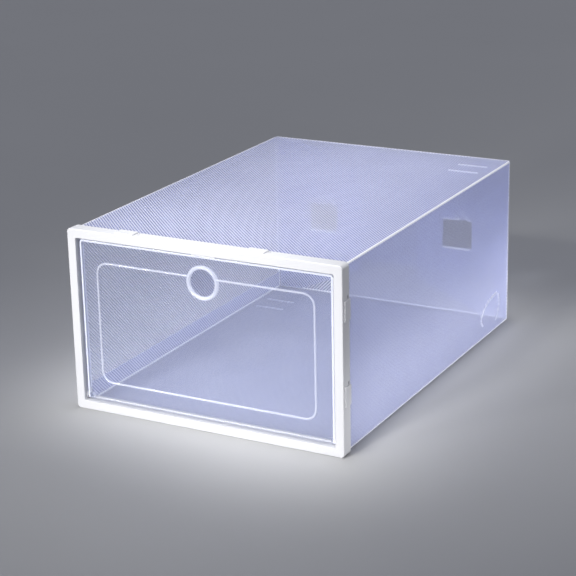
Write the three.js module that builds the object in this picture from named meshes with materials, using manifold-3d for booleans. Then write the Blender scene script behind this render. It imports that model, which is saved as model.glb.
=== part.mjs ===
// A fold-flat shoe box: a creased polypropylene sheet, a moulded front frame that clamps the
// sheet's open end, and a clear drop-down door that turns on two pins in the frame.
// Millimetres, +X to the right, +Y to the rear, +Z up. The origin is the bottom centre of the box.

import * as THREE from "three";
import { mergeVertices } from "three/addons/utils/BufferGeometryUtils.js";
import Module from "manifold-3d";

// Whole box
const WIDTH = 230;
const HEIGHT = 144.5;
const DEPTH = 326;
const GAP = 0.3; // between pieces that touch on the real box
const SUNK = 0.5; // how far a moulded detail reaches into the wall that carries it

// Front frame, a U-shaped channel that opens to the rear
const FRAME_DEPTH = 11;
const BAR = 7; // width of the frame's face
const FACE_THICK = 2.2;
const FRAME_CORNER = 3;
const OPENING_CORNER = 1;
const INNER_SKIRT = 1.8;
const RIB_SIDE_Z = [28, 63, 98, 124];
const RIB_RAIL_X = [-84, -42, 0, 42, 84];
const RIB_THICK = 1;
const RIB_SHORT = 1.5; // how far the ribs end inside the channel's open rear

// Polypropylene sheet: how far its outside lies inside the frame's outside
const SHEET = 0.7;
const INSET_SIDE = 2.2;
const INSET_TOP = 1.6;
const INSET_BOTTOM = 1.3;
const BODY_X = WIDTH / 2 - INSET_SIDE;
const BODY_TOP = HEIGHT - INSET_TOP;
const BODY_BOTTOM = INSET_BOTTOM;
const BODY_FRONT = FACE_THICK + GAP;
const LAYER = SHEET + GAP; // pitch of sheets that lie on each other

// Seam flap inside the left wall
const SEAM_HEIGHT = 13;

// Rear closure: dust flaps inside, lower flap over them, upper flap outside
const UPPER_FLAP_Y = DEPTH - SHEET;
const LOWER_FLAP_Y = UPPER_FLAP_Y - LAYER;
const DUST_FLAP_Y = LOWER_FLAP_Y - LAYER;
const LOCK_TAB_Y = DUST_FLAP_Y - LAYER;
const FLAP_X = BODY_X - 0.5;
const UPPER_FLAP_EDGE = 37;
const UPPER_FLAP_EAR = 7; // how far the edge drops at its two ends
const UPPER_FLAP_EAR_X = 86;
const LOWER_FLAP_TOP = 138;
const LOWER_FLAP_CORNER = 8;
const DUST_FLAP_ROOT_X = BODY_X - SHEET - GAP;
const DUST_FLAP_CHAMFER_X = 88;
const DUST_FLAP_END_X = 28;
const DUST_FLAP_CHAMFER = 26;
const DUST_FLAP_CORNER = 7;

// Lock windows through the three rear layers, and the half-round tabs pushed through them
const WINDOW_X = 65;
const WINDOW_Z = 73;
const WINDOW_WIDTH = 28;
const WINDOW_HEIGHT = 26.8;
const TAB_WIDTH = 26;
const TAB_LENGTH = 13.4;

// Die-cut slots in pairs
const SLOT_LENGTH = 25;
const SLOT_WIDTH = 1.3;
const SLOT_PITCH = 20.5;
const TOP_SLOTS_X = 89.5;
const TOP_SLOTS_Y = 287;
const BOTTOM_SLOTS_X = -89.5;
const BOTTOM_SLOTS_Y = 274;
const REAR_SLOTS_X = 1;
const REAR_SLOTS_Z = 115;
const REAR_SLOT_LENGTH = 22;

// Leaf-shaped push-out tab in the right wall, near its rear bottom corner
const LEAF_RISING = [[268, 13], [256, 22], [274, 33], [298, 34]]; // Y and Z of curve controls
const LEAF_FALLING = [[301, 32], [308, 22], [297, 9.5]];
const LEAF_CUT = 0.9;

// Door and its hinge. Y and Z are measured with the door shut.
const HINGE_Y = 5.5;
const HINGE_Z = 10.2;
const DOOR_X = 106.2;
const DOOR_FRONT = 3;
const DOOR_THICK = 1.5;
const DOOR_BOTTOM = 9;
const DOOR_TOP = 136;
const DOOR_CORNER = 2.5;
const DOOR_TOE = 0.6; // chamfer that lets the lower edge turn over the frame
const LIP_WIDTH = 1.4;
const LIP_DEPTH = 2.1;
const LIP_START = 16;
const KNUCKLE_RADIUS = 2.4;
const KNUCKLE_LENGTH = 4;
const PIN_RADIUS = 1.5;
const PIN_LENGTH = 3.1;
const PIN_CLEARANCE = 0.12;
const HINGE_BOSS_RADIUS = 2.7;
const HINGE_BOSS_X = 107;

// Raised outline on the door's face, and the finger hole
const BEAD_X = 91.5;
const BEAD_BOTTOM = 24;
const BEAD_TOP = 119.5;
const BEAD_CORNER = 9;
const BEAD_WIDTH = 1.9;
const BEAD_HEIGHT = 0.7;
const HOLE_Z = 115.5;
const HOLE_RADIUS = 10.2;
const RIM_RADIUS = 13.7;
const RIM_PROUD = 1.2;

// Snap pads on the frame's outside, each with a pocket beside it
const PAD_LENGTH = 15.6;
const PAD_PROUD = 0.9;
const PAD_FRONT = 2.4;
const PAD_TOP_X = [-66, 44];
const PAD_SIDE_Z = [110.3, 46];
const POCKET_LENGTH = 2.6;
const POCKET_WIDTH = 1.6;
const POCKET_MARGIN = 1.6; // to the skirt's rear edge
const POCKET_OFFSET = 0.4; // to its pad

// Catch ridge in front of the door, stops and threshold behind it
const CATCH_X = 2.5;
const CATCH_LENGTH = 20;
const CATCH_FRONT = 0.9;
const CATCH_REAR = 2.5;
const CATCH_DROP = 0.9;
const STOP_X = 46;
const STOP_LENGTH = 12;
const STOP_THICK = 1.4;
const STOP_OVERLAP = 1.2; // how far it reaches behind the door
const STOP_CLEARANCE = 0.4;
const THRESHOLD_RISE = 0.8;
const THRESHOLD_DEPTH = 2.6;

const ARC_STEPS = 8;
const ROUND_STEPS = 24;

const PLASTIC = { metalness: 0 };
const sheetPlastic = new THREE.MeshStandardMaterial({
  ...PLASTIC, color: 0xa9b0d8, roughness: 0.35, transparent: true, opacity: 0.55,
});
const framePlastic = new THREE.MeshStandardMaterial({ ...PLASTIC, color: 0xf4f5f9, roughness: 0.28 });
const clearPlastic = new THREE.MeshStandardMaterial({
  ...PLASTIC, color: 0xdfe6f6, roughness: 0.08, transparent: true, opacity: 0.25,
});

const wasm = await Module();
wasm.setup();

// ---- outlines -----------------------------------------------------------------------------

function rectangle(x0, y0, x1, y1, radius = 0, kind = THREE.Shape) {
  const path = new kind();
  if (radius === 0) {
    path.moveTo(x0, y0);
    path.lineTo(x1, y0);
    path.lineTo(x1, y1);
    path.lineTo(x0, y1);
    path.closePath();
    return path;
  }
  path.absarc(x0 + radius, y0 + radius, radius, Math.PI, 1.5 * Math.PI, false);
  path.absarc(x1 - radius, y0 + radius, radius, 1.5 * Math.PI, 2 * Math.PI, false);
  path.absarc(x1 - radius, y1 - radius, radius, 0, 0.5 * Math.PI, false);
  path.absarc(x0 + radius, y1 - radius, radius, 0.5 * Math.PI, Math.PI, false);
  path.closePath();
  return path;
}

function hole(x0, y0, x1, y1, radius = 0) {
  return rectangle(x0, y0, x1, y1, radius, THREE.Path);
}

function ring(outer, inner) {
  const shape = rectangle(...outer);
  shape.holes.push(hole(...inner));
  return shape;
}

function slotPair(x, y, length, pitch) {
  return [-0.5, 0.5].map((side) => {
    const middle = y + side * pitch;
    const half = SLOT_WIDTH / 2;
    return hole(x - length / 2, middle - half, x + length / 2, middle + half);
  });
}

function toVector([x, y]) {
  return new THREE.Vector2(x, y);
}

// A cut of constant width along a curve, as a closed outline
function cutAlong(curve, width, steps) {
  const left = [];
  const right = [];
  for (let i = 0; i <= steps; i += 1) {
    const point = curve.getPoint(i / steps);
    const along = curve.getTangent(i / steps);
    const side = new THREE.Vector2(-along.y, along.x).multiplyScalar(width / 2);
    left.push(point.clone().add(side));
    right.push(point.clone().sub(side));
  }
  return new THREE.Path([...left, ...right.reverse()]);
}

// ---- solids -------------------------------------------------------------------------------

function extrude(shape, depth) {
  return new THREE.ExtrudeGeometry(shape, { depth, bevelEnabled: false, curveSegments: ARC_STEPS });
}

// An outline drawn in X and Y, between two heights
function flat(shape, z0, z1) {
  return extrude(shape, z1 - z0).translate(0, 0, z0);
}

// An outline drawn in X and Z, between two depths
function upright(shape, y0, y1) {
  return extrude(shape, y1 - y0).rotateX(Math.PI / 2).translate(0, y1, 0);
}

// An outline drawn in Y and Z, between two sides
function sideways(shape, x0, x1) {
  const turn = new THREE.Matrix4().makeBasis(
    new THREE.Vector3(0, 1, 0), new THREE.Vector3(0, 0, 1), new THREE.Vector3(1, 0, 0));
  return extrude(shape, x1 - x0).applyMatrix4(turn).translate(x0, 0, 0);
}

function block(x0, x1, y0, y1, z0, z1) {
  const box = new THREE.BoxGeometry(x1 - x0, y1 - y0, z1 - z0);
  return box.translate((x0 + x1) / 2, (y0 + y1) / 2, (z0 + z1) / 2);
}

// A round bar along X on the hinge axis
function hingeBar(radius, x0, x1) {
  const bar = new THREE.CylinderGeometry(radius, radius, x1 - x0, ROUND_STEPS);
  return bar.rotateZ(Math.PI / 2).translate((x0 + x1) / 2, HINGE_Y, HINGE_Z);
}

function toSolid(geometry) {
  const bare = geometry.clone();
  bare.deleteAttribute("normal");
  bare.deleteAttribute("uv");
  const merged = mergeVertices(bare, 1e-5);
  return new wasm.Manifold(new wasm.Mesh({
    numProp: 3,
    vertProperties: new Float32Array(merged.attributes.position.array),
    triVerts: new Uint32Array(merged.index.array),
  }));
}

function toGeometry(solid) {
  const mesh = solid.getMesh();
  const geometry = new THREE.BufferGeometry();
  geometry.setAttribute("position", new THREE.BufferAttribute(new Float32Array(mesh.vertProperties), 3));
  geometry.setIndex(new THREE.BufferAttribute(new Uint32Array(mesh.triVerts), 1));
  geometry.computeVertexNormals();
  return geometry;
}

function join(geometries, cuts = []) {
  let solid = toSolid(geometries[0]);
  for (const geometry of geometries.slice(1)) {
    solid = solid.add(toSolid(geometry));
  }
  for (const cut of cuts) {
    solid = solid.subtract(toSolid(cut));
  }
  return toGeometry(solid);
}

function mirrored(geometry) {
  const copy = geometry.clone().scale(-1, 1, 1);
  const index = copy.index ?? mergeVertices(copy).index;
  for (let i = 0; i < index.count; i += 3) {
    const first = index.getX(i);
    index.setX(i, index.getX(i + 2));
    index.setX(i + 2, first);
  }
  return copy;
}

// ---- the creased sheet --------------------------------------------------------------------

function topPanel() {
  const shape = rectangle(-BODY_X, BODY_FRONT, BODY_X, DEPTH);
  shape.holes.push(...slotPair(TOP_SLOTS_X, TOP_SLOTS_Y, SLOT_LENGTH, SLOT_PITCH));
  return flat(shape, BODY_TOP - SHEET, BODY_TOP);
}

function bottomPanel() {
  const shape = rectangle(-BODY_X, BODY_FRONT, BODY_X, LOWER_FLAP_Y + SHEET);
  shape.holes.push(...slotPair(BOTTOM_SLOTS_X, BOTTOM_SLOTS_Y, SLOT_LENGTH, SLOT_PITCH));
  return flat(shape, BODY_BOTTOM, BODY_BOTTOM + SHEET);
}

function wallOutline() {
  const bottom = BODY_BOTTOM + LAYER;
  const top = BODY_TOP - LAYER;
  return rectangle(BODY_FRONT, bottom, DUST_FLAP_Y + SHEET, top);
}

function leftPanel() {
  return sideways(wallOutline(), -BODY_X, -BODY_X + SHEET);
}

function rightPanel() {
  const shape = wallOutline();
  const rising = new THREE.CubicBezierCurve(...LEAF_RISING.map(toVector));
  const falling = new THREE.QuadraticBezierCurve(...LEAF_FALLING.map(toVector));
  shape.holes.push(cutAlong(rising, LEAF_CUT, 2 * ARC_STEPS));
  shape.holes.push(cutAlong(falling, LEAF_CUT, ARC_STEPS));
  return sideways(shape, BODY_X - SHEET, BODY_X);
}

function seamFlap() {
  const x = -BODY_X + LAYER;
  const z = BODY_BOTTOM + LAYER;
  const shape = rectangle(BODY_FRONT, z, LOCK_TAB_Y - GAP, z + SEAM_HEIGHT);
  return sideways(shape, x, x + SHEET);
}

// ---- the rear closure ---------------------------------------------------------------------

// A block that cuts one lock window through every rear layer
function lockWindow(side) {
  const x = side * WINDOW_X;
  const halfWidth = WINDOW_WIDTH / 2;
  const halfHeight = WINDOW_HEIGHT / 2;
  return block(
    x - halfWidth, x + halfWidth, LOCK_TAB_Y, DEPTH + 1, WINDOW_Z - halfHeight, WINDOW_Z + halfHeight);
}

function rearUpperFlap() {
  const top = BODY_TOP - LAYER;
  const ear = UPPER_FLAP_EDGE - UPPER_FLAP_EAR;
  const bend = (UPPER_FLAP_EAR_X + FLAP_X) / 2;
  const shape = new THREE.Shape();
  shape.moveTo(FLAP_X, top);
  shape.lineTo(-FLAP_X, top);
  shape.lineTo(-FLAP_X, ear);
  shape.quadraticCurveTo(-bend, UPPER_FLAP_EDGE, -UPPER_FLAP_EAR_X, UPPER_FLAP_EDGE);
  shape.lineTo(UPPER_FLAP_EAR_X, UPPER_FLAP_EDGE);
  shape.quadraticCurveTo(bend, UPPER_FLAP_EDGE, FLAP_X, ear);
  shape.closePath();
  shape.holes.push(...slotPair(REAR_SLOTS_X, REAR_SLOTS_Z, REAR_SLOT_LENGTH, SLOT_PITCH));
  const plate = upright(shape, UPPER_FLAP_Y, UPPER_FLAP_Y + SHEET);
  return join([plate], [lockWindow(-1), lockWindow(1)]);
}

function rearLowerFlap() {
  const r = LOWER_FLAP_CORNER;
  const shape = new THREE.Shape();
  shape.moveTo(-FLAP_X, BODY_BOTTOM + LAYER);
  shape.lineTo(FLAP_X, BODY_BOTTOM + LAYER);
  shape.lineTo(FLAP_X, LOWER_FLAP_TOP - r);
  shape.absarc(FLAP_X - r, LOWER_FLAP_TOP - r, r, 0, 0.5 * Math.PI, false);
  shape.absarc(-FLAP_X + r, LOWER_FLAP_TOP - r, r, 0.5 * Math.PI, Math.PI, false);
  shape.closePath();
  const plate = upright(shape, LOWER_FLAP_Y, LOWER_FLAP_Y + SHEET);
  return join([plate], [lockWindow(-1), lockWindow(1)]);
}

// The right-hand dust flap. The left-hand one is its mirror image.
function dustFlap() {
  const low = BODY_BOTTOM + LAYER;
  const high = BODY_TOP - LAYER;
  const r = DUST_FLAP_CORNER;
  const shape = new THREE.Shape();
  shape.moveTo(DUST_FLAP_ROOT_X, low);
  shape.lineTo(DUST_FLAP_ROOT_X, high);
  shape.lineTo(DUST_FLAP_CHAMFER_X, high);
  shape.lineTo(DUST_FLAP_END_X + r, high - DUST_FLAP_CHAMFER + 1);
  shape.quadraticCurveTo(
    DUST_FLAP_END_X, high - DUST_FLAP_CHAMFER, DUST_FLAP_END_X, high - DUST_FLAP_CHAMFER - r);
  shape.lineTo(DUST_FLAP_END_X, low + DUST_FLAP_CHAMFER + r);
  shape.quadraticCurveTo(
    DUST_FLAP_END_X, low + DUST_FLAP_CHAMFER, DUST_FLAP_END_X + r, low + DUST_FLAP_CHAMFER - 1);
  shape.lineTo(DUST_FLAP_CHAMFER_X, low);
  shape.closePath();
  return join([upright(shape, DUST_FLAP_Y, DUST_FLAP_Y + SHEET)], [lockWindow(1)]);
}

// A half-round tab: its root runs through the window, its tongue lies flat on the dust flap
function lockTab(side, up) {
  const x = side * WINDOW_X;
  const root = WINDOW_Z + up * (WINDOW_HEIGHT / 2 - GAP - SHEET / 2);
  const half = TAB_WIDTH / 2;
  const tongue = new THREE.Shape();
  tongue.moveTo(x - half, root);
  tongue.absellipse(x, root, half, TAB_LENGTH, Math.PI, 0, up > 0, 0);
  tongue.closePath();
  const strip = block(
    x - half, x + half, LOCK_TAB_Y, DEPTH - GAP, root - SHEET / 2, root + SHEET / 2);
  return join([strip, upright(tongue, LOCK_TAB_Y, LOCK_TAB_Y + SHEET)]);
}

// ---- the front frame ----------------------------------------------------------------------

const OUTER = [-WIDTH / 2, 0, WIDTH / 2, HEIGHT];
const OPENING = [-WIDTH / 2 + BAR, BAR, WIDTH / 2 - BAR, HEIGHT - BAR];

function grown([x0, z0, x1, z1], by) {
  return [x0 - by, z0 - by, x1 + by, z1 + by];
}

function channelRings() {
  const socket = [-BODY_X - GAP, BODY_BOTTOM - GAP, BODY_X + GAP, BODY_TOP + GAP];
  const face = ring([...OUTER, FRAME_CORNER], [...OPENING, OPENING_CORNER]);
  const outerSkirt = ring([...OUTER, FRAME_CORNER], [...socket, GAP]);
  const innerSkirt = ring([...grown(OPENING, INNER_SKIRT), 0], [...OPENING, OPENING_CORNER]);
  const skirtFront = FACE_THICK / 2; // inside the face, so that they join
  return [
    upright(face, 0, FACE_THICK),
    upright(outerSkirt, skirtFront, FRAME_DEPTH),
    upright(innerSkirt, skirtFront, FRAME_DEPTH),
  ];
}

// Ribs in the channel that keep the sheet against the outer skirt
function channelRibs() {
  const y0 = FACE_THICK / 2;
  const y1 = FRAME_DEPTH - RIB_SHORT;
  const sheetX = BODY_X - 2 * LAYER - GAP;
  const skirtX = OPENING[2] + INNER_SKIRT / 2;
  const ribs = [];
  for (const z of RIB_SIDE_Z) {
    ribs.push(block(skirtX, sheetX, y0, y1, z, z + RIB_THICK));
    ribs.push(block(-sheetX, -skirtX, y0, y1, z, z + RIB_THICK));
  }
  for (const x of RIB_RAIL_X) {
    const above = HEIGHT - BAR + INNER_SKIRT / 2;
    ribs.push(block(x, x + RIB_THICK, y0, y1, above, BODY_TOP - LAYER));
    ribs.push(block(x, x + RIB_THICK, y0, y1, BODY_BOTTOM + LAYER, BAR - INNER_SKIRT / 2));
  }
  return ribs;
}

function snapPads() {
  const half = PAD_LENGTH / 2;
  const inside = WIDTH / 2 - SUNK;
  const outside = WIDTH / 2 + PAD_PROUD;
  const pads = [];
  for (const x of PAD_TOP_X) {
    pads.push(block(x - half, x + half, PAD_FRONT, FRAME_DEPTH, HEIGHT - SUNK, HEIGHT + PAD_PROUD));
  }
  for (const z of PAD_SIDE_Z) {
    pads.push(block(inside, outside, PAD_FRONT, FRAME_DEPTH, z - half, z + half));
    pads.push(block(-outside, -inside, PAD_FRONT, FRAME_DEPTH, z - half, z + half));
  }
  return pads;
}

// Small pockets through the outer skirt, one beside each snap pad
function padPockets() {
  const y1 = FRAME_DEPTH - POCKET_MARGIN;
  const y0 = y1 - POCKET_WIDTH;
  const reach = PAD_LENGTH / 2 + POCKET_OFFSET;
  const pockets = [];
  for (const x of PAD_TOP_X) {
    pockets.push(block(x + reach, x + reach + POCKET_LENGTH, y0, y1, BODY_TOP, HEIGHT + 1));
  }
  for (const z of PAD_SIDE_Z) {
    const z0 = z + reach;
    pockets.push(block(BODY_X, WIDTH / 2 + 1, y0, y1, z0, z0 + POCKET_LENGTH));
    pockets.push(block(-WIDTH / 2 - 1, -BODY_X, y0, y1, z0, z0 + POCKET_LENGTH));
  }
  return pockets;
}

function doorKeepers() {
  const lintel = HEIGHT - BAR;
  const catchRidge = block(
    CATCH_X - CATCH_LENGTH / 2, CATCH_X + CATCH_LENGTH / 2,
    CATCH_FRONT, CATCH_REAR, lintel - CATCH_DROP, lintel + SUNK);
  const stopY = DOOR_FRONT + DOOR_THICK + LIP_DEPTH + STOP_CLEARANCE;
  const stops = [-1, 1].map((side) => block(
    side * STOP_X - STOP_LENGTH / 2, side * STOP_X + STOP_LENGTH / 2,
    stopY, stopY + STOP_THICK, DOOR_TOP - STOP_OVERLAP, lintel + SUNK));
  const threshold = block(
    OPENING[0] - SUNK, OPENING[2] + SUNK,
    FRAME_DEPTH - THRESHOLD_DEPTH, FRAME_DEPTH, BAR - SUNK, BAR + THRESHOLD_RISE);
  return [catchRidge, ...stops, threshold];
}

function hingeBosses() {
  return [-1, 1].map((side) => {
    const ends = [side * HINGE_BOSS_X, side * (OPENING[2] + INNER_SKIRT / 2)];
    return hingeBar(HINGE_BOSS_RADIUS, Math.min(...ends), Math.max(...ends));
  });
}

function hingeSockets() {
  const radius = PIN_RADIUS + PIN_CLEARANCE;
  const beyond = OPENING[2] + INNER_SKIRT + 1;
  return [hingeBar(radius, -beyond, -HINGE_BOSS_X + 1), hingeBar(radius, HINGE_BOSS_X - 1, beyond)];
}

function frontFrame() {
  const channel = [...channelRings(), ...channelRibs()];
  const details = [...snapPads(), ...doorKeepers(), ...hingeBosses()];
  return join([...channel, ...details], [...padPockets(), ...hingeSockets()]);
}

// ---- the door -----------------------------------------------------------------------------

// The flat pane, with its two upper corners rounded
function doorPane() {
  const shape = new THREE.Shape();
  const r = DOOR_CORNER;
  shape.moveTo(-DOOR_X, DOOR_BOTTOM);
  shape.lineTo(DOOR_X, DOOR_BOTTOM);
  shape.absarc(DOOR_X - r, DOOR_TOP - r, r, 0, 0.5 * Math.PI, false);
  shape.absarc(-DOOR_X + r, DOOR_TOP - r, r, 0.5 * Math.PI, Math.PI, false);
  shape.closePath();
  return upright(shape, DOOR_FRONT, DOOR_FRONT + DOOR_THICK);
}

// A stiffening lip behind the pane, along its top and sides
function doorLip() {
  const inner = DOOR_X - LIP_WIDTH;
  const r = DOOR_CORNER;
  const shape = new THREE.Shape();
  shape.moveTo(inner, LIP_START);
  shape.lineTo(DOOR_X, LIP_START);
  shape.absarc(DOOR_X - r, DOOR_TOP - r, r, 0, 0.5 * Math.PI, false);
  shape.absarc(-DOOR_X + r, DOOR_TOP - r, r, 0.5 * Math.PI, Math.PI, false);
  shape.lineTo(-DOOR_X, LIP_START);
  shape.lineTo(-inner, LIP_START);
  shape.lineTo(-inner, DOOR_TOP - LIP_WIDTH);
  shape.lineTo(inner, DOOR_TOP - LIP_WIDTH);
  shape.closePath();
  const front = DOOR_FRONT + DOOR_THICK / 2;
  return upright(shape, front, DOOR_FRONT + DOOR_THICK + LIP_DEPTH);
}

function doorBead() {
  const outline = [-BEAD_X, BEAD_BOTTOM, BEAD_X, BEAD_TOP];
  const half = BEAD_WIDTH / 2;
  const outer = [...grown(outline, half), BEAD_CORNER + half];
  const inner = [...grown(outline, -half), BEAD_CORNER - half];
  const band = ring(outer, inner);
  return upright(band, DOOR_FRONT - BEAD_HEIGHT, DOOR_FRONT + DOOR_THICK / 2);
}

// The rim round the finger hole: a rounded section turned about the hole's axis
function fingerRim() {
  const middle = (HOLE_RADIUS + RIM_RADIUS) / 2;
  const halfWidth = (RIM_RADIUS - HOLE_RADIUS) / 2;
  const halfDepth = DOOR_THICK / 2 + RIM_PROUD;
  const section = [];
  for (let i = 0; i <= ARC_STEPS + 4; i += 1) {
    const turn = (2 * Math.PI * i) / (ARC_STEPS + 4);
    section.push(new THREE.Vector2(middle + halfWidth * Math.cos(turn), halfDepth * Math.sin(turn)));
  }
  const rim = new THREE.LatheGeometry(section, 2 * ROUND_STEPS);
  return rim.translate(0, DOOR_FRONT + DOOR_THICK / 2, HOLE_Z);
}

function fingerHole() {
  const radius = (HOLE_RADIUS + RIM_RADIUS) / 2;
  const bore = new THREE.CylinderGeometry(radius, radius, 4 * DOOR_THICK, 2 * ROUND_STEPS);
  return bore.translate(0, DOOR_FRONT + DOOR_THICK / 2, HOLE_Z);
}

// A block that chamfers the pane's lower front edge
function doorToe() {
  const y = DOOR_FRONT;
  const z = DOOR_BOTTOM;
  const corner = new THREE.Shape([
    new THREE.Vector2(y - 1, z - 1), new THREE.Vector2(y + DOOR_TOE + 1, z - 1),
    new THREE.Vector2(y - 1, z + DOOR_TOE + 1)]);
  return sideways(corner, -DOOR_X - 1, DOOR_X + 1);
}

function doorPins() {
  const reach = DOOR_X + PIN_LENGTH;
  const inner = DOOR_X - KNUCKLE_LENGTH;
  return [
    hingeBar(KNUCKLE_RADIUS, inner, DOOR_X),
    hingeBar(KNUCKLE_RADIUS, -DOOR_X, -inner),
    hingeBar(PIN_RADIUS, DOOR_X - 1, reach),
    hingeBar(PIN_RADIUS, -reach, -DOOR_X + 1),
  ];
}

function door() {
  const plate = join([doorPane(), doorBead()], [fingerHole(), doorToe()]);
  return join([plate, doorLip(), fingerRim(), ...doorPins()]);
}

// ---- assembly -----------------------------------------------------------------------------

const group = new THREE.Group();
group.position.y = -DEPTH / 2;

function addNode(name, geometry, material) {
  const mesh = new THREE.Mesh(geometry, material);
  mesh.name = name;
  group.add(mesh);
}

addNode("front_frame", frontFrame(), framePlastic);
addNode("door_panel", door(), clearPlastic);
addNode("top_panel", topPanel(), sheetPlastic);
addNode("bottom_panel", bottomPanel(), sheetPlastic);
addNode("left_panel", leftPanel(), sheetPlastic);
addNode("right_panel", rightPanel(), sheetPlastic);
addNode("seam_flap", seamFlap(), sheetPlastic);
addNode("rear_upper_flap", rearUpperFlap(), sheetPlastic);
addNode("rear_lower_flap", rearLowerFlap(), sheetPlastic);
addNode("dust_flap_right", dustFlap(), sheetPlastic);
addNode("dust_flap_left", mirrored(dustFlap()), sheetPlastic);
for (const [sideName, side] of [["left", -1], ["right", 1]]) {
  addNode(`lock_tab_${sideName}_upper`, lockTab(side, 1), sheetPlastic);
  addNode(`lock_tab_${sideName}_lower`, lockTab(side, -1), sheetPlastic);
}

export default group;
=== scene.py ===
"""A fold-flat shoe box: one creased translucent sheet, a white moulded front frame and a clear
drop-down door. The sheet is drawn flat, as it is die-cut, and then folded round the CAD frame."""

import math

import bmesh
import bpy
from mathutils import Matrix, Vector
from mathutils.geometry import delaunay_2d_cdt, intersect_point_line


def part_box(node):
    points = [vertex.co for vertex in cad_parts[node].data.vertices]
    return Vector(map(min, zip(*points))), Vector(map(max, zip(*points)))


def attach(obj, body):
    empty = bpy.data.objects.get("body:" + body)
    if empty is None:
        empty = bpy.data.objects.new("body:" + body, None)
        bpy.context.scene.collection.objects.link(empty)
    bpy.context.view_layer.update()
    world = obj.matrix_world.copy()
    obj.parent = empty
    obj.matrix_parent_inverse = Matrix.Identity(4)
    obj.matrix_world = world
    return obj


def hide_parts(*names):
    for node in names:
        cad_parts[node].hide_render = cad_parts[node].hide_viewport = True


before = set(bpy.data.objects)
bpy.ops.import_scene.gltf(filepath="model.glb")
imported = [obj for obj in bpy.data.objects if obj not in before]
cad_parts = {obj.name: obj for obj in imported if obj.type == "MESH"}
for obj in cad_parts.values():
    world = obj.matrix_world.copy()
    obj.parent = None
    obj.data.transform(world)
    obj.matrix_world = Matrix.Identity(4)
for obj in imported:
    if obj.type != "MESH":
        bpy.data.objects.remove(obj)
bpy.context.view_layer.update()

MM = 0.001

# ---- sizes of the sheet, in millimetres ------------------------------------------------------

FOLD_RADIUS = 1.0  # outside of every crease
FOLD_STEPS = 4
CREASE_MARGIN = 0.7  # how far the whitening of a crease reaches past its bend
CUT_MARGIN = 1.0  # and how far it reaches round a die-cut slot
RIB_PITCH = 3.0  # along either edge of the sheet, so 2.1 across the diagonal ribs
RIB_STEPS = 4
RIB_HEIGHT = 0.14
CROSS_PITCH = 45.0  # extra cuts that keep the mesh's triangles short
SHORTEST_CUT = 0.01  # rib lines that only touch the sheet's corner are left out
MERGE_DISTANCE = 1e-4  # of the mesh's points on the flat sheet
NOTCH = 0.3  # gap at both sides of a flap's root
CURVE_STEPS = 7

WINDOW_X = 65.0
WINDOW_Z = 73.0
WINDOW_WIDTH = 28.0
WINDOW_HEIGHT = 26.8
WINDOW_CORNER = 1.2
TAB_GAP = 0.05  # between a lock tab's root and the edge of its window

SLOT_LENGTH = 25.0
SLOT_WIDTH = 1.3
SLOT_PITCH = 20.5
TOP_SLOTS = (89.5, 287.0)  # x, and y from the front face of the frame
BOTTOM_SLOTS = (-89.5, 274.0)
REAR_SLOTS = (1.0, 115.0)  # x and z
REAR_SLOT_LENGTH = 22.0

DUST_FLAP_SHOULDER = 24.8  # where its sides start to taper
DUST_FLAP_TAPER = 26.0
DUST_FLAP_CORNER = 7.0
UPPER_FLAP_EAR = 7.0
UPPER_FLAP_EAR_X = 99.0
UPPER_FLAP_BEND = 40.0
LOWER_FLAP_CORNER = 8.0

# Control points of the leaf's two cuts: y from the frame's face, and z, on the right wall
LEAF_RISING = ((268.0, 13.0), (256.0, 22.0), (274.0, 33.0), (298.0, 34.0))
LEAF_FALLING = ((301.0, 32.0), (308.0, 22.0), (297.0, 9.5))
LEAF_CUT = 0.8


def millimetres(node):
    low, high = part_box(node)
    return [value / MM for value in low], [value / MM for value in high]


TOP_LOW, TOP_HIGH = millimetres("top_panel")
BOTTOM_LOW = millimetres("bottom_panel")[0]
LEFT_LOW = millimetres("left_panel")[0]
SEAM_LOW, SEAM_HIGH = millimetres("seam_flap")
UPPER_LOW, UPPER_HIGH = millimetres("rear_upper_flap")
LOWER_HIGH = millimetres("rear_lower_flap")[1]
DUST_LOW, DUST_HIGH = millimetres("dust_flap_right")

SHEET = TOP_HIGH[2] - TOP_LOW[2]
SHEET_PITCH = LEFT_LOW[2] - BOTTOM_LOW[2]  # of sheets that lie on each other
FRONT_Y = TOP_LOW[1]
FACE_Y = millimetres("front_frame")[0][1]  # slot and leaf places are counted from here
BODY_X = TOP_HIGH[0]
TOP_Z = TOP_HIGH[2]
BOTTOM_Z = BOTTOM_LOW[2]
QUARTER = math.pi / 2 * FOLD_RADIUS  # length of sheet in one crease


# ---- outlines on the flat sheet --------------------------------------------------------------


def fillet(before, corner, after, radius):
    """The points of an arc that rounds a corner."""
    a = (before - corner).normalized()
    b = (after - corner).normalized()
    half = a.angle(b) / 2
    reach = radius / math.tan(half)
    start, end = corner + a * reach, corner + b * reach
    centre = corner + (a + b).normalized() * (radius / math.sin(half))
    first = start - centre
    sweep = first.angle_signed(end - centre)
    return [
        centre + Matrix.Rotation(-sweep * step / CURVE_STEPS, 2) @ first
        for step in range(CURVE_STEPS + 1)
    ]


def rounded(corners):
    """A closed outline through corners (u, v) or (u, v, radius)."""
    points = [Vector(corner[:2]) for corner in corners]
    outline = []
    for index, corner in enumerate(corners):
        radius = corner[2] if len(corner) > 2 else 0
        if radius:
            after = points[(index + 1) % len(points)]
            outline += fillet(points[index - 1], points[index], after, radius)
        else:
            outline.append(points[index])
    return outline


def rectangle(centre, width, height, corner=0.0):
    u, v = centre
    w, h = width / 2, height / 2
    return rounded([(u - w, v - h, corner), (u + w, v - h, corner),
                    (u + w, v + h, corner), (u - w, v + h, corner)])


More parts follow.
